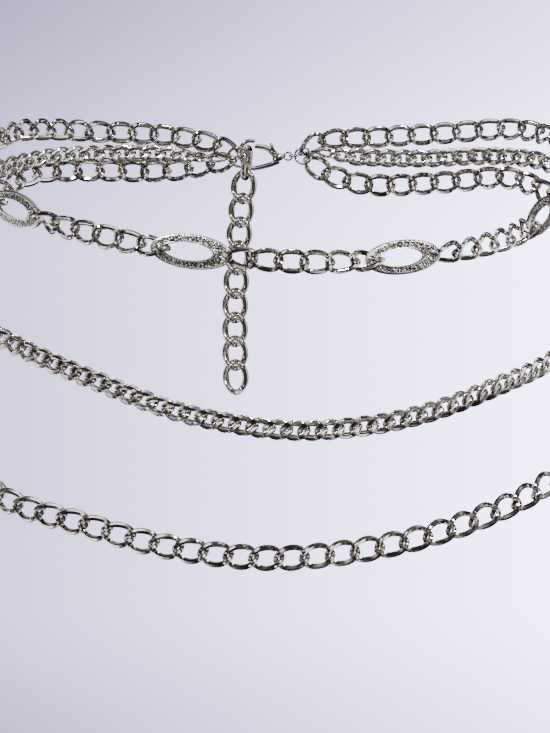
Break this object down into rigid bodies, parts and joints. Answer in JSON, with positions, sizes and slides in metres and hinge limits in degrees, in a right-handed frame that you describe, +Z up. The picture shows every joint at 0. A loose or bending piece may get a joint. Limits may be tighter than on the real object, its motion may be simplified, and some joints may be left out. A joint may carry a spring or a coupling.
{
  "type": "waist chain",
  "caption": "Three-strand waist chain in its worn form: open curb links with textured ovals, a flat curb strand, a lower open curb strand, lobster clasp and extender chain.",
  "frame": {"origin": "middle of the waist, at the height where the three strands lie together at the back", "axes": "+Z up along the wearer's body, -Y towards the front of the body and the camera, +X to the right of the front view"},
  "size_m": [0.2625, 0.1671, 0.1652],
  "materials": {
    "plated_links": "bright silver-tone plating, polished",
    "cast_ovals": "silver-tone plating over a fine granular relief, plain matte rim",
    "flat_curb": "bright silver-tone plating, flat cut faces",
    "clasp": "bright silver-tone plating, cast and tumbled"
  },
  "bodies": {
    "chain": {"upper_strand_links": "plated_links", "oval_1": "cast_ovals", "oval_2": "cast_ovals", "oval_3": "cast_ovals", "oval_4": "cast_ovals", "oval_5": "cast_ovals", "oval_6": "cast_ovals", "middle_strand": "flat_curb", "lower_strand_links": "plated_links", "extender_links_chain": "plated_links", "end_ring": "plated_links", "small_jump_ring": "plated_links", "large_jump_ring": "plated_links", "clasp_body": "clasp"},
    "lever": {"clasp_lever": "clasp"}
  },
  "joints": [
    {"name": "clasp_lever_hinge", "type": "hinge", "parent": "chain", "child": "lever", "pos_m": [0.0004, 0.078, -0.0012], "axis": [0, -1, 0], "range_deg": [0, 20], "stiffness_Nm_per_rad": 0.004, "springref_deg": -17.19}
  ]
}
